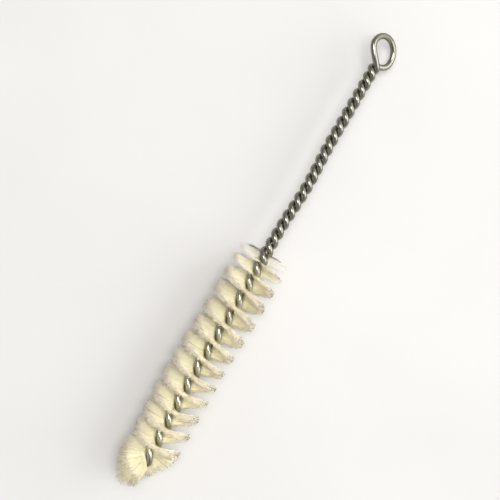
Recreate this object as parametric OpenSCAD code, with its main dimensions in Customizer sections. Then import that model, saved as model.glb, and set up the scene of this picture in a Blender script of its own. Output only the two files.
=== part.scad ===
// Test tube brush: one steel wire, folded into a hanging eye, whose two legs are
// twisted together and grip a helical strip of bristles near their cut ends.
// It lies on its bristles: the brush axis runs along X, the eye points to +X,
// +Z is up, and the origin is at the bottom centre of the bounding box.

/* [Wire] */
// Diameter of the steel wire
wire_d = 2.2; // [1.8:0.05:2.2]
// Length along the axis of one full turn of the two legs in the bare handle
stem_pitch = 7.76; // [7.3:0.02:9.5]
// Length of one full turn right below the eye, where the twist is tightest
eye_pitch = 6.2; // [6.2:0.1:7.2]
// Length over which the tight twist below the eye eases into the handle's
easing_len = 10.6; // [6:0.2:14]
// Length of one full turn of the two legs among the bristles
head_pitch = 14.28; // [12:0.02:18]
// Length over which the twist of the handle opens into the head's
opening_len = 17; // [10:0.5:22]
// Bare twisted handle, from the foot of the eye to the first bristle
stem_len = 77.4; // [50:0.2:110]
// Free space left between the two legs in the bare handle
leg_gap = 0.06; // [0.05:0.01:0.1]

/* [Eye] */
// Inside diameter of the hanging eye
eye_inner_d = 9.8; // [8:0.1:12]
// Roll of the eye's plane about the brush axis
eye_roll = 41.5; // [0:0.5:60]
// How far the eye nods down from the line of the handle
eye_nod = 9; // [0:1:15]
// How far the eye leans to one side in its own plane
eye_lean = 5; // [0:1:10]

/* [Bristles] */
// Diameter over the bristle tips
brush_d = 20; // [16:0.5:24]
// From the first bristle to the cut ends of the wire
head_len = 87.6; // [60:0.2:110]
// Thickness of the bristle strip where the legs grip it
strip_t = 0.6; // [0.4:0.05:0.8]
// Angle that the bristles fan out to each side of the strip
spread = 20; // [12:1:26]
// The same angle at the very tip, where the last bristles open out
tip_spread = 48; // [30:1:55]
// Angle by which the last bristles lean forward, past the cut ends of the wire
tip_lean = 60; // [30:1:64]
// How much further the ones above and below the wire lean, to close the tip
tip_fold = 16; // [0:1:20]
// How much longer the last bristles are than the rest
tip_extra = 1.7; // [0:0.1:2]
// How much of that length the tip has more on one side and less on the other
tip_slant = 1.4; // [0:0.1:2]
// Depth of the ragged notches between tufts at the outer edge
ragged = 0.7; // [0.2:0.1:1.2]
// Length of the thinly filled start of the head
thin_len = 7; // [4:0.5:10]
// Thickness of one of the loose bristles in the thin start
filament_d = 0.26; // [0.2:0.02:0.28]
// Spacing of the loose bristles along the thin start
filament_step = 0.42; // [0.36:0.02:1]
// Angle by which the loose bristles lean back toward the handle
filament_lean = 8; // [0:1:12]
// Clear space between the bristles and each leg of the wire
clearance = 0.05; // [0.03:0.01:0.08]

/* [Wear] */
// Sideways bow of the head, pressed out of line by use
head_bow = 0.8; // [0:0.1:3]
// Sideways bow of the handle just above the head, to the other side
stem_bow = 0.65; // [0:0.05:1.5]
// How far the bristles of one side are swept back, toward the tip
side_sweep = 4.4; // [0:0.1:5]
// Angle by which the bristles are pressed toward the flat of the brush
pressed_by = 16; // [0:1:18]
// How much more of it the +Y side has, and how much less the other side
pressed_more = 9; // [0:1:9]
// How far the last bristles are pushed over to the +Y side
tip_push = 1.6; // [0:0.1:2.5]
// Share of their width that the last bristles are drawn together by
tip_pinch = 0.26; // [0:0.02:0.4]
// Depth of the flat that the bristles take where they rest
rest_flat = 0.3; // [0.1:0.05:0.6]

/* [Hidden] */

wire_sides = 8;
wire_step = 30;      // degrees of twist between two rings of the wire
strip_step = 14;     // degrees of twist between two stations of the strip
eye_step = 12;       // degrees of arc between two rings round the eye
seed = 7;            // fixes the ragged edge and the loose bristles

wire_r = wire_d / 2;
brush_r = brush_d / 2;
eye_r = (eye_inner_d + wire_d) / 2;
axis_z = brush_r - rest_flat;

// Stations along the axis, with x = 0 at the first bristle
eye_foot = stem_len;
easing_end = eye_foot - easing_len;
open_from = 1.6;
open_to = open_from - opening_len;
strip_from = -thin_len;
wire_end = -head_len;
strip_to = wire_end + wire_r / 2;
// The gap between the legs widens over this stretch to take the strip
widen_from = 8;
widen_len = 12;
// Lengths over which the tip opens out and the sweep of one side sets in
tip_zone = 5;
sweep_from = -34;
sweep_zone = 36;
// The bow of the head runs between these two stations, and the handle's between two more
bow_from = -20;
bow_to = wire_end + 5.6;
stem_bow_from = 9;
stem_bow_to = 47;

eye_rate = 360 / eye_pitch;
stem_rate = 360 / stem_pitch;
head_rate = 360 / head_pitch;

// The fans leave the waist, clear the legs at the knee and lean beyond it. Only
// where the wire ends do they lean from the waist on.
waist_r = 0.9 * wire_r;
knee_r = leg_r(wire_end) + wire_r + clearance;
free_end = wire_end + wire_d;
knee_sweep = 0.25;   // share of the sweep that the bristles have at the knee

function smooth(t) = let (c = max(0, min(1, t))) c * c * (3 - 2 * c);
function hump(x, from, to) = x <= from || x >= to ? 0 : pow(sin(180 * (x - from) / (to - from)), 2);
function steps(from, to, count) = [for (i = [0:count]) from + (to - from) * i / count];
function unit(v) = v / norm(v);
function radial(a) = [0, cos(a), sin(a)];

// Sideways place of the slightly bowed axis
function axis_y(x) = head_bow * (hump(x, bow_to, bow_from) - 1 / 2)
    - stem_bow * hump(x, stem_bow_from, stem_bow_to);

// Twist gained over a length d when the rate runs evenly from one value to the
// next over a length zone, and then stays
function eased(d, zone, from, to) = to * d
    + (from - to) * (d < zone ? d - d * d / (2 * zone) : zone / 2);

// Degrees that the legs have turned between the foot of the eye and station x
function turned(x) = eased(eye_foot - x, easing_len, eye_rate, stem_rate)
    + (x < open_from ? eased(open_from - x, opening_len, 0, head_rate - stem_rate) : 0);

function leg_angle(x) = 90 + eye_roll + turned(x);
function leg_r(x) = wire_r + leg_gap / 2
    + (strip_t / 2 + clearance - leg_gap / 2) * smooth((widen_from - x) / widen_len);

// A point at radius r and angle a round the axis, at station x
function about_axis(x, r, a) = [x, axis_y(x) + r * cos(a), axis_z + r * sin(a)];
function leg_point(x, side) = about_axis(x, leg_r(x), leg_angle(x) + side);

// Points of a cubic curve from p to q that leaves along u and arrives along v
function cubic(p, u, q, v, count) = [for (i = [1:count - 1]) let (t = i / count)
    p * (2 * t * t * t - 3 * t * t + 1) + u * (t * t * t - 2 * t * t + t)
    + q * (3 * t * t - 2 * t * t * t) + v * (t * t * t - t * t)];

// The eye: a circle in a rolled and nodding plane. Its two ends pass each other
// at the foot, each lifted off the plane by the radius at which the legs run.
foot_r = leg_r(eye_foot);
lift_arc = 125;      // degrees of the circle over which each end comes down to the plane
join_in = 103;       // degrees of the circle that the upper leg takes to run into it
join_out = 91;       // the same for the lower leg
side_way = radial(eye_roll);
eye_up = radial(90 + eye_roll);
front_way = [cos(eye_nod), 0, 0] - sin(eye_nod) * eye_up;
eye_normal = cos(eye_nod) * eye_up + [sin(eye_nod), 0, 0];
eye_along = cos(eye_lean) * front_way - sin(eye_lean) * side_way;
eye_across = cos(eye_lean) * side_way + sin(eye_lean) * front_way;

function lift(a) = a < 180 ? 1 - smooth(a / lift_arc) : smooth((360 - a) / lift_arc) - 1;
function eye_point(a) = [eye_foot, axis_y(eye_foot), axis_z]
    + eye_r * (1 - cos(a)) * eye_along + eye_r * sin(a) * eye_across + foot_r * lift(a) * eye_normal;
function eye_tangent(a) = sin(a) * eye_along + cos(a) * eye_across;
function leg_slope(way) = unit([way, 0, 0] + foot_r * eye_rate * PI / 180 * side_way);

// Stations of the rings along a leg, from its cut end to the foot of the eye
function ring_count(from, to) = ceil((turned(from) - turned(to)) / wire_step);
function stretch(from, to) = let (n = ring_count(from, to))
    [for (i = [1:n]) from + (to - from) * i / n];
leg_xs = concat([wire_end], stretch(wire_end, open_to), stretch(open_to, open_from),
    stretch(open_from, easing_end), stretch(easing_end, eye_foot));
leg_xs_back = [for (i = [len(leg_xs) - 1:-1:0]) leg_xs[i]];

// The path of the wire runs up one leg, round the eye and down the other leg
eye_path = concat(
    cubic(leg_point(eye_foot, 0), 1.64 * eye_r * leg_slope(1),
        eye_point(join_in), 1.37 * eye_r * eye_tangent(join_in), 8),
    [for (a = steps(join_in, 360 - join_out, round((360 - join_in - join_out) / eye_step))) eye_point(a)],
    cubic(eye_point(360 - join_out), 2.2 * eye_r * eye_tangent(360 - join_out),
        leg_point(eye_foot, 180), 1.06 * eye_r * leg_slope(-1), 8));
wire_path = concat([for (x = leg_xs) leg_point(x, 0)], eye_path,
    [for (x = leg_xs_back) leg_point(x, 180)]);
// The direction that the first corner of each ring faces
wire_facing = concat([for (x = leg_xs) radial(leg_angle(x))], [for (p = eye_path) eye_up],
    [for (x = leg_xs_back) radial(leg_angle(x))]);

// Sweeps a ring of n corners and radius r along a path
module swept_tube(path, facing, r, n) {
    last = len(path) - 1;
    rings = [for (i = [0:last]) let (
        t = unit(path[min(i + 1, last)] - path[max(i - 1, 0)]),
        u = unit(facing[i] - (facing[i] * t) * t),
        v = cross(t, u))
        for (k = [0:n - 1]) path[i] + r * (cos(360 * k / n) * u + sin(360 * k / n) * v)];
    walls = [for (i = [0:last - 1]) for (k = [0:n - 1]) let (
        a = i * n + k, b = i * n + (k + 1) % n)
        each [[a, a + n, b + n], [a, b + n, b]]];
    polyhedron(rings, concat(walls, [[for (k = [0:n - 1]) k]],
        [[for (k = [n - 1:-1:0]) last * n + k]]));
}

module twisted_wire()
    color("#8d8b80")
        swept_tube(wire_path, wire_facing, wire_r, wire_sides);

// Bristle strip: at each station a thin waist between the legs, with a fan of
// bristles to each side of it
strip_count = ceil((turned(strip_to) - turned(strip_from)) / strip_step);
strip_xs = steps(strip_from, strip_to, strip_count);
noise = rands(0.4, 1, 4 * (strip_count + 1), seed);

// Share of the way into the tip, out of the thin start, and into the sweep
function tip_share(x) = smooth((strip_to + tip_zone - x) / tip_zone);
function fill_share(x) = 0.4 + 0.6 * smooth((strip_from - x) / thin_len);
function sweep_share(x) = smooth((sweep_from - x) / sweep_zone);
function fan_angle(x) = (spread + (tip_spread - spread) * tip_share(x)) * fill_share(x);

function knee_shift(x) = (knee_r - waist_r) * sin(tip_lean) * smooth((free_end - x) / wire_d);

function swept(x, a) = side_sweep * sweep_share(x) * (1 - tip_share(x)) * max(0, -cos(a));

// Where a bristle that left the wire at angle a ends up, pressed toward the flat
function pressed(a) = a - (pressed_by + pressed_more * cos(a)) * sin(2 * a);

// Points at the knee and at the outer end of the bristles that stand at angle a
function bristle_knee(x, a) = about_axis(x, knee_r, a)
    + [knee_sweep * swept(x, a) - knee_shift(x), 0, 0];
function bristle_tip(x, r, a) = let (
    s = tip_share(x),
    lean = s * (tip_lean + tip_fold * sin(a) * sin(a)),
    out = r - knee_r + s * (tip_extra + tip_slant * cos(a)),
    p = about_axis(x, knee_r + out * cos(lean), pressed(a)))
    [x - knee_shift(x) - out * sin(lean) + swept(x, a),
        p[1] + s * s * (tip_push - tip_pinch * p[1]), max(0, p[2])];

// The angles of the outer points of the two fans at station x
function fan_angles(x) = [for (side = [90, 270])
    [for (k = [0:3]) leg_angle(x) + side + fan_angle(x) * (2 * k / 3 - 1)]];

// The origin is at the bottom centre of the bounding box
eye_top = eye_foot + eye_r * cos(eye_nod) * (1 + cos(eye_lean)) + wire_r;
last_tips = [for (fan = fan_angles(strip_to)) for (a = fan) bristle_tip(strip_to, brush_r, a)];
brush_end = min([for (p = last_tips) p[0]]);
centre_x = (eye_top + brush_end) / 2;

module bristle_spiral() {
    n = 16;
    waist_turn = atan(strip_t / 2 / waist_r);
    function waist(x, a) = about_axis(x, norm([waist_r, strip_t / 2]), a);
    function notch(i, k) = ragged * ((i + k) % 2) * noise[4 * i + k];
    function section(i) = let (x = strip_xs[i], g = min(fan_angle(x), spread))
        [for (fan = fan_angles(x)) let (a = (fan[0] + fan[3]) / 2)
            each concat([waist(x, a - waist_turn), bristle_knee(x, a - g)],
                [for (k = [0:3]) bristle_tip(x, brush_r - notch(i, k), fan[k])],
                [bristle_knee(x, a + g), waist(x, a + waist_turn)])];
    points = [for (i = [0:strip_count]) each section(i)];
    walls = [for (i = [0:strip_count - 1]) for (k = [0:n - 1]) let (
        a = i * n + k, b = i * n + (k + 1) % n)
        each [[a, b, b + n], [a, b + n, a + n]]];
    // An end is closed by its two fans and by the waist between them
    function fan_end(o) = [for (k = [1:6]) [o, o + k + 1, o + k]];
    function end(o) = concat(fan_end(o), fan_end(o + 8), [[o, o + 15, o + 8], [o, o + 8, o + 7]]);
    far_end = [for (f = end(strip_count * n)) [f[2], f[1], f[0]]];
    color("#e3dcc2")
        polyhedron(points, concat(walls, end(0), far_end));
}

// Loose bristles in the thin start: each bends round the axis between the legs
// and is cut short where it meets the surface below
filament_count = floor((thin_len - filament_d) / filament_step);
filament_noise = rands(-1, 1, 2 * filament_count, seed + 1);

module loose_half(a, reach, lean) {
    to_floor = (axis_z - filament_d / 2) / (cos(lean) * max(0.001, -sin(a)));
    rotate([a - 90, 0, 0])
        rotate([0, lean, 0])
            cylinder(h = sin(a) < 0 ? min(reach, to_floor) : reach, d = filament_d, $fn = 24);
}

module first_bristles()
    color("#d8d1b8")
        for (i = [0:filament_count - 1]) let (
            x = -filament_step * (i + 0.5),
            a = leg_angle(x) + 90,
            reach = brush_r * (0.94 + 0.04 * filament_noise[2 * i]),
            lean = filament_lean * (1 + 0.4 * filament_noise[2 * i + 1]))
            translate([x, axis_y(x), axis_z]) {
                loose_half(a, reach, lean);
                loose_half(a + 180, reach, lean);
                sphere(d = filament_d, $fn = 24);
            }

module brush_placed() translate([-centre_x, 0, 0]) children();

brush_placed() twisted_wire();
brush_placed() bristle_spiral();
brush_placed() first_bristles();
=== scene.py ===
# %% [markdown]
# # A test tube brush
# One steel wire is folded in half. The fold is the hanging eye, and the two legs are
# twisted together. Near their cut ends they grip a strip of bristles, which the twist
# turns into a screw-shaped brush. Everything here is worked out from that one twist:
# where each leg runs, which way each bristle points and how the tip opens.

# %% The frame
import bpy
import numpy as np
from mathutils import Matrix, Vector


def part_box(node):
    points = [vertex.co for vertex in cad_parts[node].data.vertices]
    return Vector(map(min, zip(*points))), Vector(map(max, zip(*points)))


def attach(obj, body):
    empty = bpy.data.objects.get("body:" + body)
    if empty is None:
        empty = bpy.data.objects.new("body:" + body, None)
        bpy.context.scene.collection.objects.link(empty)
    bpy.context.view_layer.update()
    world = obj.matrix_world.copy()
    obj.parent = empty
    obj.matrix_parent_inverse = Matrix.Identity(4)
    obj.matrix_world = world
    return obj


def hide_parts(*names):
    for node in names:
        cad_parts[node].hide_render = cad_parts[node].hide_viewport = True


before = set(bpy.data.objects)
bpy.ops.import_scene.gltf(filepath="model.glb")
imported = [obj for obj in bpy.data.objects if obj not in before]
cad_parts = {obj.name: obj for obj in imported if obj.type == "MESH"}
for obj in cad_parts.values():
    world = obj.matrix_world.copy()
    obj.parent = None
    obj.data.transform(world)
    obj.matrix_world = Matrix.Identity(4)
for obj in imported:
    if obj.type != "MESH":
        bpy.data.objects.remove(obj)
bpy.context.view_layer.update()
MM = 0.001
wire_low, wire_high = (np.array(corner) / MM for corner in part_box("twisted_wire"))
print("wire", wire_low, wire_high)

# %% [markdown]
# ## Colours and nodes
# Paint charts and screens give colours in sRGB, but light adds up in linear values, so
# each colour is written as a hex value and turned to linear by one function. A second
# function adds a node to a material, so that each finish reads as a short list.

# %% Helpers for materials
def linear(hex_colour):
    """Each channel over 255, then the sRGB curve undone: a short straight part near
    black, and ((c + 0.055) / 1.055) to the power 2.4 above it."""
    c = np.array([int(hex_colour[i:i + 2], 16) for i in (1, 3, 5)]) / 255
    return (*np.where(c <= 0.04045, c / 12.92, ((c + 0.055) / 1.055) ** 2.4), 1.0)


def add(tree, kind, inputs=None, stops=(), **settings):
    """Adds a node. Settings go on the node; inputs on its sockets, by name or number:
    a plain value is set there, and an output socket is linked in. Stops are for a
    colour ramp: its places, each with a hex colour."""
    made = tree.nodes.new("ShaderNode" + kind)
    for key, value in settings.items():
        setattr(made, key, value)
    for key, value in (inputs or {}).items():
        if isinstance(value, bpy.types.NodeSocket):
            tree.links.new(value, made.inputs[key])
        else:
            made.inputs[key].default_value = value
    if stops:
        while len(made.color_ramp.elements) < len(stops):
            made.color_ramp.elements.new(0.5)
        for element, (place, colour) in zip(made.color_ramp.elements, stops):
            element.position = place
            element.color = linear(colour)
    return made


def finish_named(name):
    """A material with an empty node tree, and the tree to fill."""
    material = bpy.data.materials.new(name)
    material.use_nodes = True
    material.node_tree.nodes.clear()
    return material, material.node_tree


print("#808080 is", linear("#808080")[0], "in linear light")

# %% [markdown]
# ## Where the brush lies
# The shapes are drawn in millimetres from the first bristle: x = 0 is there, the eye is
# towards +x and the cut ends are at x = -87.6. The model has its origin under the middle
# of its box instead. The eye reaches furthest to +x, so the way from one to the other
# comes from how far the eye reaches in each.

# %% Sizes that place the brush
brush_r = 10.0
rest_flat = 0.3
axis_z = brush_r - rest_flat
stem_len = 77.4
head_len = 87.6
wire_r = 1.1
eye_inner_d = 9.8
eye_r = (eye_inner_d + 2 * wire_r) / 2
eye_nod = np.radians(9)
eye_lean = np.radians(-5)
shift = wire_high[0] - (stem_len + eye_r * np.cos(eye_nod) * (1 + np.cos(eye_lean)) + wire_r)
print("first bristle at x =", shift, "mm")

# %% [markdown]
# ## The camera
# The brush is seen from straight above, with the eye up and to the right. The place of
# the camera is given from the first bristle on the axis: how far along it looks, how far
# to the side, how high it is and how far the view is rolled. A lens that is twice as
# long as the sensor is wide sees half as much as it is away, here a square of 180 mm,
# and the brush, lying aslant, just fits in it.

# %% Camera
look_along, look_aside = -2.16, 5.18
look_at = np.array([shift + look_along, look_aside, axis_z])
camera_height = 360.0
roll = np.radians(30.25)

scene = bpy.context.scene
camera = bpy.data.objects.new("camera", bpy.data.cameras.new("camera"))
scene.collection.objects.link(camera)
scene.camera = camera
camera.data.sensor_width = 36
camera.data.lens = 72
camera.data.clip_start = 0.01
view_up = Vector((np.cos(roll), np.sin(roll), 0))
view_right = Vector((np.sin(roll), -np.cos(roll), 0))
turn = Matrix((view_right, view_up, Vector((0, 0, 1)))).transposed().to_4x4()
camera.matrix_world = Matrix.Translation(Vector(look_at + [0, 0, camera_height]) * MM) @ turn
print("camera", camera_height, "mm above", look_at)

# %% [markdown]
# ## Light and floor
# Two soft lamps light the brush. One hangs almost overhead and draws the bright stripes
# on the wire. A weaker one stands low on the right, as a window would, and throws the
# soft shadows to the left. The room glows on the window's side and is grey on the other,
# so the wire has a lit flank and a dark one. Together they light a flat surface to
# about 1.3. The table top is pale grey paper with faint blotches, 12 to a metre, and in
# this light it looks almost white and keeps its shadows.

# %% Light
def direction(side, height_angle):
    """Unit vector at side degrees from the view's right towards its top, and at
    height_angle degrees above the floor."""
    a, e = np.radians(side), np.radians(height_angle)
    way = np.cos(a) * np.array(view_right) + np.sin(a) * np.array(view_up)
    return Vector((*way[:2] * np.cos(e), np.sin(e)))


def lamp(name, side, height_angle, distance, length, width, level):
    """An area lamp, with its sizes in metres. Side is its direction in degrees from the
    view's right towards its top, height_angle its height in degrees, and level what it
    adds to a flat white floor: power = pi * pi * distance squared * level / sin(height
    angle)."""
    way = direction(side, height_angle)
    data = bpy.data.lights.new(name, "AREA")
    data.shape = "ELLIPSE"
    data.size, data.size_y = length, width
    data.energy = np.pi ** 2 * distance ** 2 * level / np.sin(np.radians(height_angle))
    made = bpy.data.objects.new(name, data)
    made.location = Vector(look_at) * MM + way * distance
    made.rotation_euler = way.to_track_quat("Z", "Y").to_euler()
    scene.collection.objects.link(made)
    print(name, "lamp", data.energy, "W")


lamp("window", side=-5, height_angle=30, distance=0.7, length=0.7, width=0.5, level=0.2)
lamp("ceiling", side=45, height_angle=84, distance=0.9, length=0.64, width=0.48, level=0.67)

# %% Room
glow_way = direction(side=5, height_angle=15)
room_level = 1.5
scene.view_settings.view_transform = "Standard"
world = bpy.data.worlds.new("room")
scene.world = world
world.use_nodes = True
tree = world.node_tree
seen = add(tree, "TexCoord").outputs["Generated"]
glow = add(tree, "VectorMath", {0: seen, 1: glow_way}, operation="DOT_PRODUCT")
towards = add(tree, "MapRange", {"Value": glow.outputs["Value"], "From Min": -1.0})
room = add(tree, "ValToRGB", {"Fac": towards.outputs[0]},
           stops=[(0.6, "#807f7d"), (0.8, "#a9a9a9"), (0.97, "#ffffff")])
background = tree.nodes["Background"]
tree.links.new(room.outputs["Color"], background.inputs["Color"])
background.inputs["Strength"].default_value = room_level
print("the room is brightest towards", glow_way, "at", room_level)

# %% Floor
paper, tree = finish_named("matt_white_paper")
blotch = add(tree, "TexNoise", {"Vector": add(tree, "TexCoord").outputs["Object"],
                                "Scale": 12.0, "Detail": 2.0})
tint = add(tree, "ValToRGB", {"Fac": blotch.outputs["Fac"]},
           stops=[(0.3, "#dad8d6"), (0.7, "#dfdddb")])
shader = add(tree, "BsdfPrincipled", {"Base Color": tint.outputs["Color"], "Roughness": 0.9})
add(tree, "OutputMaterial", {"Surface": shader.outputs[0]})

half = 1.0
corners = [(-half, -half, 0), (half, -half, 0), (half, half, 0), (-half, half, 0)]
table = bpy.data.meshes.new("table_top")
table.from_pydata(corners, [], [(0, 1, 2, 3)])
table.materials.append(paper)
floor = bpy.data.objects.new("table_top", table)
scene.collection.objects.link(floor)
print("floor", tuple(floor.dimensions), "m")

# %% [markdown]
# ## The twist
# Such a brush is wound by holding one end of the folded wire and turning the other. The
# twist comes out tight just under the eye, even along the handle, and opens to a long
# pitch where the bristles lie between the legs. So the twist is written as degrees
# turned at each x, and the legs and the bristles both read it. Angles are in degrees, 0
# along +y and 90 straight up.

# %% The line of the axis
head_bow, head_bow_from, head_bow_to = 0.8, -82.0, -20.0
stem_bow, stem_bow_from, stem_bow_to = 0.65, 9.0, 47.0


def smooth(t):
    """0 below 0, 1 above 1, and 3 t^2 - 2 t^3 between them."""
    c = np.clip(t, 0, 1)
    return c * c * (3 - 2 * c)


def hump(x, start, end):
    """sin squared over the stretch from start to end, and 0 outside it."""
    return np.where((x > start) & (x < end), np.sin(np.pi * (x - start) / (end - start)) ** 2, 0)


def axis_y(x):
    """The brush isn't quite straight: the head bows to one side, and the handle to the
    other just above it. Each bow is its height times a hump, and half of the head's bow
    is taken off, so that the head lies evenly about y = 0."""
    return (head_bow * (hump(x, head_bow_from, head_bow_to) - 0.5)
            - stem_bow * hump(x, stem_bow_from, stem_bow_to))


print("the axis lies at y =", axis_y(-51.0), "in the head and", axis_y(28.0), "in the handle")

# %% The twist as functions of x
eye_roll = 41.5
eye_rate, stem_rate, head_rate = 360 / 6.2, 360 / 7.76, 360 / 14.28
easing_len = 10.6
open_from, opening_len = 1.6, 17.0


def eased(d, zone, first, then):
    """Turn gained over a length d when the rate slides evenly from first to then over
    the zone, and stays."""
    return then * d + (first - then) * np.where(d < zone, d - d * d / (2 * zone), zone / 2)


def turned(x):
    """Degrees of twist from the foot of the eye to x. The rate eases from the eye's to
    the handle's, and from the handle's to the head's where the bristles start."""
    handle = eased(stem_len - x, easing_len, eye_rate, stem_rate)
    return handle + eased(np.maximum(open_from - x, 0), opening_len, 0, head_rate - stem_rate)


def leg_angle(x):
    """Angle of the first leg round the axis: square to the eye's roll, plus the twist.
    The second leg is 180 degrees on."""
    return 90 + eye_roll + turned(x)


print("turns:", turned(0.0) / 360, "in the handle,", turned(-head_len) / 360, "in all")

# %% The legs as functions of x
leg_gap, strip_t, strip_gap = 0.06, 0.6, 0.02
widen_from, widen_len = 8, 12


def leg_r(x):
    """Distance of a leg's centre line from the axis: in the handle the radius of the
    wire and half the gap, and wider by half the strip where the bristles start."""
    grip = strip_t / 2 + strip_gap
    return wire_r + leg_gap / 2 + grip * smooth((widen_from - x) / widen_len)


def radial(a):
    """Unit vector at angle a, in degrees, in the plane across the axis."""
    a = np.radians(a)
    return np.stack([np.zeros_like(a), np.cos(a), np.sin(a)], -1)


def about_axis(x, r, a):
    """Point at radius r and angle a round the bowed axis, at x."""
    x, r, a = np.broadcast_arrays(x, r, a)
    return np.stack([x, axis_y(x), np.full_like(x, axis_z)], -1) + r[..., None] * radial(a)


def leg_point(x, side):
    """Point on a leg's centre line: side is 0 for the first leg and 180 for the other."""
    return about_axis(x, leg_r(x), leg_angle(x) + side)


print("the centres of the legs lie", 2 * leg_r(stem_len), "mm apart in the handle and",
      2 * leg_r(-head_len), "mm in the head")

# %% [markdown]
# ## Making meshes
# Every piece is a grid of points: rows along it and columns round it. One function
# joins the grid into a closed tube and writes it into a Blender mesh in one go, with a
# UV map that says how far round and how far along each point lies. Its faces are flat
# quads that shade as one smooth surface.

# %% Grid to mesh
def uv_grid(shape, across, along):
    """UV pairs for a grid of points: each of the two is spread over the grid's shape."""
    uv = np.empty((*shape, 2))
    uv[..., 0] = across
    uv[..., 1] = along
    return uv


def tubes(name, rings, uv, material):
    """Closes tubes from an array of tubes x rings x corners x 3, in millimetres. Each
    wall quad joins corner k of a ring and the next ring, and the two end rings are
    closed by flat faces. uv has one pair for each point."""
    count, length, sides, _ = rings.shape
    points = (rings.reshape(-1, 3) + [shift, 0, 0]) * MM
    index = np.arange(count * length * sides).reshape(count, length, sides)
    a, b = index[:, :-1], index[:, 1:]
    walls = np.stack([a, np.roll(a, -1, 2), np.roll(b, -1, 2), b], -1).reshape(-1, 4)
    ends = np.concatenate([index[:, 0, ::-1], index[:, -1]])
    loops = np.concatenate([walls.ravel(), ends.ravel()])
    sizes = np.concatenate([np.full(len(walls), 4), np.full(len(ends), sides)])
    mesh = bpy.data.meshes.new(name)
    mesh.vertices.add(len(points))
    mesh.vertices.foreach_set("co", points.ravel())
    mesh.loops.add(len(loops))
    mesh.loops.foreach_set("vertex_index", loops)
    mesh.polygons.add(len(sizes))
    mesh.polygons.foreach_set("loop_start", np.cumsum(sizes) - sizes)
    layer = mesh.uv_layers.new(name="along")
    layer.data.foreach_set("uv", uv.reshape(-1, 2)[loops].ravel())
    mesh.update(calc_edges=True)
    mesh.validate()
    mesh.polygons.foreach_set("use_smooth", np.ones(len(mesh.polygons), bool))
    mesh.materials.append(material)
    made = bpy.data.objects.new(name, mesh)
    scene.collection.objects.link(made)
    print(name, 2 * len(walls) + len(ends) * (sides - 2), "triangles")
    return made


# %% [markdown]
# ## Galvanised wire
# The wire is mild steel, drawn through a die and dipped in zinc. Drawing leaves fine
# lines along it, and in use the zinc dulls to an olive grey, so it shows bright stripes
# only where it faces a lamp. Among the bristles its colour is painted lighter, a painted
# reflection of the cream bristles round it, and near the cut that lightening fades out
# again, as painted shade at the cut end. The lines are drawn 0.17 mm apart round the
# wire and 6 mm long, so 6 and 0.16 of them to a millimetre, and the dull patches are
# about 3 mm by 4.5 mm.

# %% Wire finish
# From 1 mm into the head to 9 mm the wire's colour is lightened, up to 0.4 along the ramp: a
# painted reflection of the cream bristles round it. From 4 mm before the cut to 1 mm before it
# the lightening fades out again, which paints the shade at the cut end.
inside_from, inside_full = -1, -9
cut_shade_full, cut_reflection_full = 1 - head_len, 4 - head_len
zinc, tree = finish_named("galvanised_drawn_steel")
along = add(tree, "UVMap", uv_map="along").outputs[0]
lines = add(tree, "TexNoise", {"Vector": add(tree, "Mapping", {
    "Vector": along, "Scale": (6.0, 0.16, 1.0)}).outputs[0], "Scale": 1.0, "Detail": 3.0})
dull = add(tree, "TexNoise", {"Vector": add(tree, "Mapping", {
    "Vector": along, "Scale": (0.35, 0.22, 1.0)}).outputs[0], "Scale": 1.0, "Detail": 2.0})
worn = add(tree, "Math", {0: lines.outputs["Fac"], 1: dull.outputs["Fac"]}, operation="ADD")
place = add(tree, "SeparateXYZ", {0: add(tree, "TexCoord").outputs["Object"]})
inside = add(tree, "MapRange", {
    "Value": place.outputs["X"], "From Min": (shift + inside_full) * MM,
    "From Max": (shift + inside_from) * MM, "To Min": 0.4, "To Max": 0.0})
from_cut = add(tree, "MapRange", {
    "Value": place.outputs["X"], "From Min": (shift + cut_shade_full) * MM,
    "From Max": (shift + cut_reflection_full) * MM})
# The share of painted reflection: the lightening among the bristles times its fade near the cut,
# where its loss is painted shade.
painted_reflection = add(tree, "Math", {0: inside.outputs[0], 1: from_cut.outputs[0]}, operation="MULTIPLY")
tone = add(tree, "Math", {0: worn.outputs[0], 1: 0.5, 2: painted_reflection.outputs[0]},
           operation="MULTIPLY_ADD")
# Its palest stop is reached mostly through the painted reflection among the bristles.
grey = add(tree, "ValToRGB", {"Fac": tone.outputs[0]},
           stops=[(0.35, "#8a887d"), (0.65, "#99978c"), (1.0, "#ccc8b8")])
rough = add(tree, "MapRange", {"Value": dull.outputs["Fac"], "From Min": 0.3, "From Max": 0.7,
                               "To Min": 0.13, "To Max": 0.2})
bump = add(tree, "Bump", {"Height": lines.outputs["Fac"], "Strength": 0.1,
                          "Distance": 0.03 * MM})
shader = add(tree, "BsdfPrincipled", {
    "Base Color": grey.outputs["Color"], "Metallic": 0.9, "Roughness": rough.outputs[0],
    "Specular Tint": linear("#8c897e"), "Normal": bump.outputs[0]})
add(tree, "OutputMaterial", {"Surface": shader.outputs[0]})
print(zinc.name, len(tree.nodes), "nodes")

# %% [markdown]
# ## The wire
# The path runs up one leg, round the eye and down the other leg. The eye is a circle in
# a plane that is rolled and nods a little, and it leans a little to one side. Its two
# ends pass each other at the foot, each lifted off the plane by the radius of the twist,
# and a cubic curve joins each to its leg. Then a ring of corners is carried along the
# whole path.

# %% The eye
side_way, eye_up = radial(eye_roll), radial(90 + eye_roll)
front_way = np.array([np.cos(eye_nod), 0, 0]) - np.sin(eye_nod) * eye_up
eye_normal = np.cos(eye_nod) * eye_up + np.array([np.sin(eye_nod), 0, 0])
eye_along = np.cos(eye_lean) * front_way + np.sin(eye_lean) * side_way
eye_across = np.cos(eye_lean) * side_way - np.sin(eye_lean) * front_way
foot = np.float64(stem_len)
foot_r = leg_r(foot)
lift_arc = 125


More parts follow.
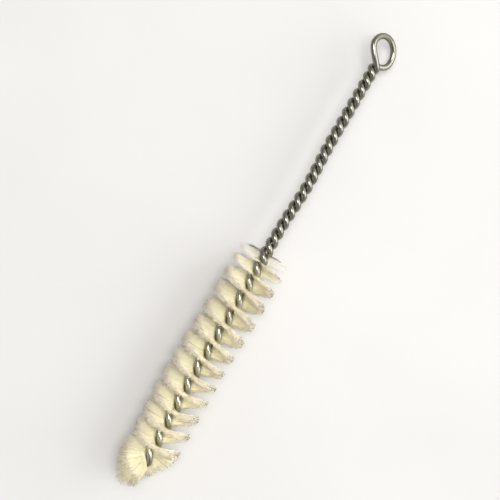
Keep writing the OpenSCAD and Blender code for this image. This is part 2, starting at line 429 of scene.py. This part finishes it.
def eye_point(a):
    """Circle of radius eye_r from the foot, plus a lift off the plane that fades over
    its first and its last 125 degrees."""
    lift = np.where(a < 180, 1 - smooth(a / lift_arc), smooth((360 - a) / lift_arc) - 1)
    a = np.radians(a)[..., None]
    return (np.array([foot, axis_y(foot), axis_z]) + eye_r * (1 - np.cos(a)) * eye_along
            + eye_r * np.sin(a) * eye_across + foot_r * lift[..., None] * eye_normal)


def eye_tangent(a):
    """Direction in which the circle runs at a degrees from the foot."""
    a = np.radians(a)
    return np.sin(a) * eye_along + np.cos(a) * eye_across


print("the eye is", 2 * eye_r, "mm across its centre line and faces", eye_normal)

# %% Path of the wire
join_in, join_out = np.float64(103), np.float64(269)
# How far each end of a joining curve holds its direction, in radii of the eye.
leg_hold_in, eye_hold_in, eye_hold_out, leg_hold_out = 1.64, 1.37, 2.2, 1.06
wire_step = 0.3


def leg_slope(way):
    """Direction of a leg at the foot: along x, and across at radius times turn."""
    v = np.array([way, 0, 0]) + foot_r * np.radians(eye_rate) * side_way
    return v / np.linalg.norm(v)


def cubic(p, u, q, v):
    """Cubic curve from p to q that leaves along u and arrives along v, without its two
    ends: p (2t^3 - 3t^2 + 1) + u (t^3 - 2t^2 + t) + q (3t^2 - 2t^3) + v (t^3 - t^2)."""
    t = np.linspace(0, 1, 60)[1:-1, None]
    return (p * (2 * t**3 - 3 * t**2 + 1) + u * (t**3 - 2 * t**2 + t)
            + q * (3 * t**2 - 2 * t**3) + v * (t**3 - t**2))


def even(path, facing, step):
    """The same path with a point every step millimetres, and how far along each is."""
    s = np.concatenate([[0], np.cumsum(np.linalg.norm(np.diff(path, axis=0), axis=1))])
    t = np.linspace(0, s[-1], int(s[-1] / step))
    path, facing = (np.stack([np.interp(t, s, v[:, k]) for k in range(3)], -1)
                    for v in (path, facing))
    return path, facing, t


leg_x = np.linspace(-head_len, foot, 2400)
eye_path = np.concatenate([
    cubic(leg_point(foot, 0), leg_hold_in * eye_r * leg_slope(1),
          eye_point(join_in), eye_hold_in * eye_r * eye_tangent(join_in)),
    eye_point(np.linspace(join_in, join_out, 240)),
    cubic(eye_point(join_out), eye_hold_out * eye_r * eye_tangent(join_out),
          leg_point(foot, 180), leg_hold_out * eye_r * leg_slope(-1))])
path = np.concatenate([leg_point(leg_x, 0), eye_path, leg_point(leg_x[::-1], 180)])
leg_facing = radial(leg_angle(leg_x))
facing = np.concatenate([leg_facing, np.tile(eye_up, (len(eye_path), 1)), leg_facing[::-1]])
path, facing, arc = even(path, facing, wire_step)
print("wire length", arc[-1], "mm")

# %% Wire as a swept ring
wire_sides = 20


def sweep(path, facing, radius, sides):
    """Ring of corners round each point: cos and sin of the corner's angle along two
    directions square to the path, the first of them the facing made square to it."""
    along = np.gradient(path, axis=0)
    along /= np.linalg.norm(along, axis=1, keepdims=True)
    u = facing - (facing * along).sum(1, keepdims=True) * along
    u /= np.linalg.norm(u, axis=1, keepdims=True)
    v = np.cross(along, u)
    a = np.linspace(0, 2 * np.pi, sides, endpoint=False)
    return path[:, None] + radius * (
        np.cos(a)[None, :, None] * u[:, None] + np.sin(a)[None, :, None] * v[:, None])


def scaled(ring, share):
    """The ring drawn in to a share of its size, about its middle."""
    return ring.mean(0) + (ring - ring.mean(0)) * share


# The cutter leaves a short bevel at each end of the wire. A smaller ring inside it keeps
# the middle of the cut flat when it is shaded.
bevel_share, flat_share = 0.82, 0.3
rings = sweep(path, facing, wire_r, wire_sides)
first, last = rings[0], rings[-1]
rings = np.concatenate([[scaled(first, flat_share), scaled(first, bevel_share)], rings[1:-1],
                        [scaled(last, bevel_share), scaled(last, flat_share)]])
round_mm = np.arange(wire_sides) * 2 * np.pi * wire_r / wire_sides
along_mm = np.concatenate([[0, 0], arc[1:-1], [arc[-1]] * 2])
uv = uv_grid(rings.shape[:2], round_mm, along_mm[:, None])
wire = tubes("drawn_wire", rings[None], uv, zinc)
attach(wire, "root")
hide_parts("twisted_wire")

# %% [markdown]
# ## Bristles
# The filaments are cream nylon, about 0.15 mm thick and cut to about one length. They
# lie across the wire before it is twisted, so each stands square to the legs, and the
# twist fans them out into a screw. Near the wire their colour is painted lighter and
# yellower, against the shade where they are packed, and towards their ends a little
# darker and pinker, against the light that the ends catch. A few are grey with use all
# along, and some ends are dark, most of them on the -y side and ahead of the cut wire.
# The map runs along each from 0 at the wire to 0.9 at a plain end or 1 at a dark one,
# and has a random tone across it.

# %% Bristle finish
plain_end, dark_end = 0.9, 1.0
nylon, tree = finish_named("cream_nylon_filament")
coords = add(tree, "SeparateXYZ", {0: add(tree, "UVMap", uv_map="along").outputs[0]})
# This ramp paints light and shade into the cream along each bristle: lighter and yellower at the
# wire, against the shade where the bristles are packed, and a little darker and pinker at the
# plain end, against the light that the ends catch. Its last stop is the dark end.
cream_with_painted_shading = add(tree, "ValToRGB", {"Fac": coords.outputs["Y"]},
            stops=[(0.0, "#fff9d4"), (0.3, "#fff9d6"), (0.6, "#fff8dc"),
                   (plain_end, "#f7eeda"), (dark_end, "#4d463c")])
used = add(tree, "ValToRGB", {"Fac": coords.outputs["Y"]},
           stops=[(0.0, "#c9bc98"), (0.5, "#b3a78c"), (1.0, "#6f685c")])
greying = add(tree, "MapRange", {"Value": coords.outputs["X"], "From Min": 0.96,
                                 "From Max": 0.99})
mixed = add(tree, "Mix", {0: greying.outputs[0], 6: cream_with_painted_shading.outputs["Color"],
                          7: used.outputs["Color"]}, data_type="RGBA")
shader = add(tree, "BsdfPrincipled", {"Base Color": mixed.outputs[2], "Roughness": 1.0})
add(tree, "OutputMaterial", {"Surface": shader.outputs[0]})
print(nylon.name, len(tree.nodes), "nodes")

# %% [markdown]
# ## How a bristle runs
# A bristle starts in the waist between the legs, square to them, and stands straight as
# far as the knee, because its neighbours hold it. Beyond the knee three things bend it.
# The brush has lain pressed in a packet, wear has swept one side back, and at the tip,
# where nothing stands in front, the bristles open forward into a tuft. Each is a
# formula, so that a single bristle, or a whole strip of them, can be drawn from its x.

# %% Wear and the tip
tip, tip_zone = -87.05, 5
side_sweep, sweep_from, sweep_zone = 4.4, -34, 36
pressed_by, pressed_more = 16, 9
thin_len, thin_fan = 7, 0.4
spread, tip_spread = 20, 48


def tip_share(x):
    """Share of the opening of the tip, over its last 5 mm."""
    return smooth((tip + tip_zone - x) / tip_zone)


def swept(x, a):
    """Wear: towards the tip, the bristles on the -y side are swept back 4.4 mm."""
    zone = smooth((sweep_from - x) / sweep_zone) * (1 - tip_share(x))
    return side_sweep * zone * np.maximum(0, -np.cos(np.radians(a)))


def pressed(a):
    """The brush has lain pressed in a packet, so each angle slides towards the flat,
    by up to 22 degrees on the +y side and 10 on the other: a - (16 + 9 cos a) sin 2a."""
    return a - (pressed_by + pressed_more * np.cos(np.radians(a))) * np.sin(np.radians(2 * a))


def fan(x):
    """Half the angle that the bristles at x fan out over, from each gap between the
    legs: wider in the tip, and narrower in the thin first stretch."""
    full = smooth((-thin_len - x) / thin_len)
    return (spread + (tip_spread - spread) * tip_share(x)) * (thin_fan + (1 - thin_fan) * full)


print("half fan", fan(-3.0), "degrees at the start,", fan(-40.0), "in the middle and",
      fan(tip), "at the tip")

# %% Bristle paths
rows = 5
root_r, knee_r, table_gap = 0.75, 2.6, 0.09
knee_sweep = 0.25
knee_lean, knee_zone = 1.39, 2.2
tip_lean, tip_fold = 60, 16
tip_extra, tip_slant = 1.7, 1.4
tip_push, tip_pinch = 1.6, 0.26


def bristle_rows(x, side, offset, reach, lean_more, stray):
    """Points along each bristle, from the waist between the legs to its end. Up to the
    knee it stands straight off the axis. Beyond the knee it is pressed towards the flat,
    swept back by wear, and strays a little. In the tip it is longer, leans forward by 60
    to 76 degrees and draws together towards the +y side. None goes below the table."""
    t = np.linspace(0, 1, rows)[None]
    start = leg_angle(x) + side + offset
    reach = reach + tip_share(x) * (tip_extra + tip_slant * np.cos(np.radians(start)))
    r = root_r + (reach[:, None] - root_r) * t
    out = np.maximum(r - knee_r, 0)
    inner, outer = np.minimum(r / knee_r, 1), out / (reach[:, None] - knee_r)
    lean = tip_lean + tip_fold * np.sin(np.radians(start)) ** 2
    lean = np.radians(lean * tip_share(x) * lean_more)[:, None]
    knee = knee_lean * smooth((knee_zone - head_len - x) / knee_zone)[:, None] * inner
    back = swept(x, start)[:, None] * (knee_sweep * inner + (1 - knee_sweep) * outer)
    a = start[:, None] + (pressed(start) - start)[:, None] * outer + stray[:, :1] * t * t
    p = about_axis(x[:, None], r - out * (1 - np.cos(lean)), a)
    p[..., 0] += back - out * np.sin(lean) - knee + stray[:, 1:2] * t * t
    p[..., 1] += tip_share(x)[:, None] ** 2 * outer * (tip_push - tip_pinch * p[..., 1])
    p[..., 2] = np.maximum(p[..., 2], table_gap)
    return p


one = bristle_rows(np.array([-40.0]), 90, 0, np.array([brush_r]), 1, np.zeros((1, 2)))
print("a bristle at x = -40 ends at", one[0, -1])

# %% [markdown]
# ## Single bristles
# A nylon filament is thinner than the view can show, so three sides are enough, and
# each stays at 26 triangles. They are placed at random, but from one seed, so that the
# brush is the same each time.

# %% One filament and its map
filament_r, end_taper = 0.075, 0.8
tip_yellow = 0.35
dark_tip_share, dark_tip_more, deep_dark = 0.03, 0.5, 0.8
aside_y, aside_zone = -5, 4
ahead_x, ahead_zone = -head_len - 2, 3
front_y, front_zone = 3, 4
first_grey = -0.8
rng = np.random.default_rng(11)


def filament_rings(p):
    """Three corners round each point of each path, square to the path, at a radius that
    tapers a little towards the end."""
    along = np.gradient(p, axis=1)
    along /= np.linalg.norm(along, axis=2, keepdims=True)
    u = np.cross(along, [1.0, 0.03, 0.02])
    u /= np.linalg.norm(u, axis=2, keepdims=True)
    v = np.cross(along, u)
    a = np.radians([0, 120, 240])[None, None, :, None]
    radius = filament_r * np.linspace(1, end_taper, rows)[None, :, None, None]
    return p[:, :, None] + radius * (np.cos(a) * u[:, :, None] + np.sin(a) * v[:, :, None])


def filament_map(x, ends):
    """A random tone across, and the share of the length along. The tuft's map stops
    early, so it stays yellow. The very first bristles are all grey. Dark ends are
    likelier far out at -y and ahead of the wire's end, where the darkening also reaches
    further in."""
    along = np.linspace(0, plain_end, rows) * (1 - tip_yellow * tip_share(x)[:, None])
    aside = smooth((aside_y - ends[:, 1]) / aside_zone)
    ahead = smooth((ahead_x - ends[:, 0]) / ahead_zone)
    ahead *= smooth((front_y - ends[:, 1]) / front_zone)
    dark_tipped = rng.random(len(x)) < dark_tip_share + dark_tip_more * np.maximum(aside, ahead)
    along[dark_tipped, -1] = dark_end
    along[dark_tipped & (ahead > 0.3), -2] = deep_dark
    tone = np.where(x > first_grey, 1, rng.random(len(x)))
    return uv_grid((len(x), rows, 3), tone[:, None, None], along[:, :, None])


# %% Many filaments
ragged, tip_even = 1.2, 0.6
lean_stray, angle_stray, x_stray = 0.07, 2.0, 0.3


def filaments(name, count, weight, first_x, last_x):
    """Places count bristles at random, as densely as weight(x) says. Their lengths
    differ by up to 1.2 mm, and by less at the tip."""
    grid = np.linspace(first_x, last_x, 2000)
    up_to = np.cumsum(weight(grid))
    x = np.interp(rng.random(count) * up_to[-1], up_to, grid)
    side = rng.choice([90.0, 270.0], count)
    offset = fan(x) * (2 * rng.random(count) - 1)
    uneven = 1 - tip_even * tip_share(x)
    reach = brush_r - ragged * uneven * rng.random(count) ** 1.5
    lean_more = 1 + lean_stray * rng.standard_normal(count)
    stray = rng.standard_normal((count, 2)) * [angle_stray, x_stray] * uneven[:, None]
    p = bristle_rows(x, side, offset, reach, lean_more, stray)
    made = tubes(name, filament_rings(p), filament_map(x, p[:, -1]), nylon)
    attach(made, "root")
    return made


# %% [markdown]
# ## The packed inside
# Away from their ends the filaments are packed so tightly that light passes from one to
# the next, and they look and shade as one soft mass. That mass is two helical strips,
# one for each side of the wire, a little narrower and shorter than the bristles. Fine
# lines run out along them, 0.25 mm wide and 4 mm long.

# %% Packed finish
packed, tree = finish_named("packed_nylon_filaments")
along = add(tree, "UVMap", uv_map="along").outputs[0]
comb = add(tree, "TexNoise", {"Vector": add(tree, "Mapping", {
    "Vector": along, "Scale": (4.0, 0.25, 1.0)}).outputs[0], "Scale": 1.0, "Detail": 2.0})
cream = add(tree, "ValToRGB", {"Fac": comb.outputs["Fac"]},
            stops=[(0.3, "#efe6c4"), (0.7, "#fdf6da")])
bump = add(tree, "Bump", {"Height": comb.outputs["Fac"], "Strength": 0.5, "Distance": 0.1 * MM})
shader = add(tree, "BsdfPrincipled", {"Base Color": cream.outputs["Color"], "Roughness": 0.6,
                                      "Normal": bump.outputs[0]})
add(tree, "OutputMaterial", {"Surface": shader.outputs[0]})
print(packed.name, len(tree.nodes), "nodes")

# %% Packed strips
core_fan, core_short, core_from = 0.75, 2.6, -9.5


def packed_strip(x, side):
    """Each ring runs out along one edge of the fan, across its rim and back in along
    the other edge, on the paths that single bristles would take there."""
    still = np.zeros((len(x), 2))
    reach = np.full(len(x), brush_r - core_short)
    rays = [bristle_rows(x, side, core_fan * fan(x) * share, reach, 1, still)
            for share in np.linspace(-1, 1, 5)]
    return np.concatenate([rays[0], *(ray[:, -1:] for ray in rays[1:-1]), rays[-1][:, ::-1]], 1)


core_x = np.linspace(core_from, tip, 250)
rings = np.stack([packed_strip(core_x, side) for side in (90, 270)])
# About how many millimetres out each point lies: out along one edge of the fan, across
# its rim and back in. It only places the lines.
out_and_back = np.array([0, 2, 4, 6, 8, 8.3, 8.6, 8.9, 8, 6, 4, 2, 0])
core = tubes("packed_bristles", rings,
             uv_grid(rings.shape[:3], -core_x[:, None], out_and_back), packed)
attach(core, "root")
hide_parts("bristle_spiral")

# %% [markdown]
# ## All the bristles
# The brush is sparse where it starts and dense from 14 mm on. The loose bristles of its
# first 7 mm are one mesh. The 20,000 after them are four meshes, one for each 20 mm of
# the head, so that none gets too heavy to edit.

# %% Bristles
piece_len, piece_count, loose_count = 20.02, 5000, 220


def dense(x):
    """Bristles to a length: an eighth of the full number at -8 mm, and all from -14."""
    return 0.12 + 0.88 * smooth((-8 - x) / 6)


def sparse(x):
    """A thin row of its own at -0.4 mm, a few after it, and more from -2.5 on."""
    return 0.1 + 2 * np.exp(-((x + 0.4) / 0.15) ** 2) + 0.9 * smooth((-2.5 - x) / 3)


for k in range(4):
    filaments(f"bristles_{k + 1}", piece_count, dense,
              -thin_len - piece_len * k, -thin_len - piece_len * (k + 1))
loose = filaments("loose_bristles", loose_count, sparse, -0.2, -thin_len)
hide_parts("first_bristles")
